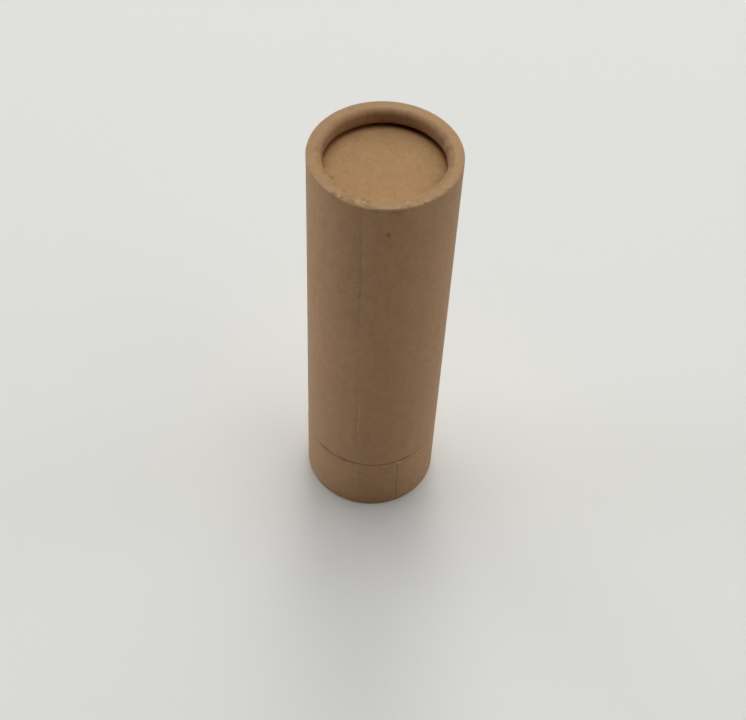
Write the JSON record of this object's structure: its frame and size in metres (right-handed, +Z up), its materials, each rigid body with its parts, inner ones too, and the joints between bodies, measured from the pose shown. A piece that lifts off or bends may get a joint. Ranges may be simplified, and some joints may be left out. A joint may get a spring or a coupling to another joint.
{
  "type": "cardboard push-up tube",
  "caption": "Round kraft cardboard push-up tube, closed: a long cap with a rolled rim and recessed end slides over an inner tube with a loose push-up disc, standing in a short collar.",
  "frame": {"origin": "centre of the bottom rim, on the surface the tube stands on", "axes": "+Z up along the tube's axis towards the cap's rim; -Y towards the side that carries the lap seams of the kraft wrap; +X to the right seen from that side"},
  "size_m": [0.035, 0.0351, 0.115],
  "materials": {
    "kraft_wrap": "matt unbleached kraft paper, mottled, over wound board",
    "kraft_disc": "matt kraft board, slightly rough",
    "kraft_liner": "matt wound kraft board, smoother and a little paler than the wrap"
  },
  "bodies": {
    "base": {"base_collar": "kraft_wrap", "inner_tube": "kraft_liner"},
    "cap": {"cap_tube": "kraft_wrap", "cap_disc": "kraft_disc"},
    "pusher": {"push_disc": "kraft_disc", "push_ring": "kraft_liner"}
  },
  "joints": [
    {"name": "cap_slide", "type": "slide", "parent": "base", "child": "cap", "axis": [0, 0, 1], "range_m": [0, 0.1]},
    {"name": "push_slide", "type": "slide", "parent": "base", "child": "pusher", "axis": [0, 0, 1], "range_m": [0, 0.0945]}
  ]
}
